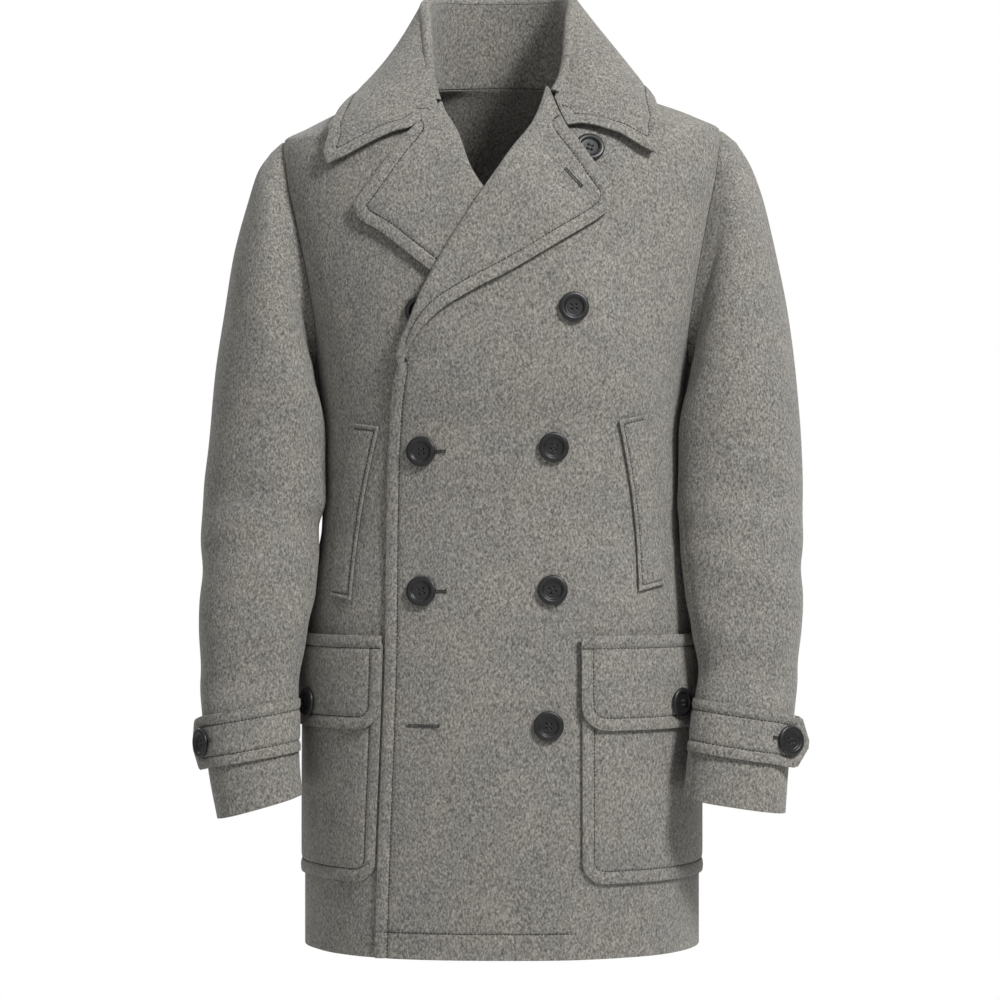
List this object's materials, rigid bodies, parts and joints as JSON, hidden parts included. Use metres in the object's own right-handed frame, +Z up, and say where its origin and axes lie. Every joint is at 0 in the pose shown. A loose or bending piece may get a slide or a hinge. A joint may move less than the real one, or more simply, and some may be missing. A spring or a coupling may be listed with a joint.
{
  "type": "double-breasted wool car coat",
  "caption": "Hip-length double-breasted wool car coat, worn and hollow, with a broad turned-down collar, wide lapels, flap patch pockets, slanted welts and buttoned cuff straps.",
  "frame": {"origin": "on the middle plane at the level of the neckline's shoulder seams, where the wearer's neck and shoulders hold the coat up", "axes": "+Z up, the front faces -Y, +X towards the wearer's left"},
  "size_m": [0.5751, 0.2777, 0.9133],
  "materials": {
    "wool": "matt brushed melange melton",
    "button": "satin"
  },
  "bodies": {
    "root": {"back": "wool", "front_left": "wool", "front_right": "wool", "lapel_left": "wool", "lapel_right": "wool", "collar_stand": "wool", "collar_fall": "wool", "sleeve_top_left": "wool", "sleeve_under_left": "wool", "sleeve_top_right": "wool", "sleeve_under_right": "wool", "welt_left": "wool", "welt_right": "wool", "pocket_left": "wool", "pocket_right": "wool", "flap_left": "wool", "flap_right": "wool", "cuff_strap_left": "wool", "cuff_strap_right": "wool", "button_left_1": "button", "button_left_2": "button", "button_left_3": "button", "button_left_4": "button", "button_right_1": "button", "button_right_2": "button", "button_right_3": "button", "button_collar": "button", "button_flap_left": "button", "button_flap_right": "button", "button_cuff_left": "button", "button_cuff_right": "button"}
  },
  "joints": []
}
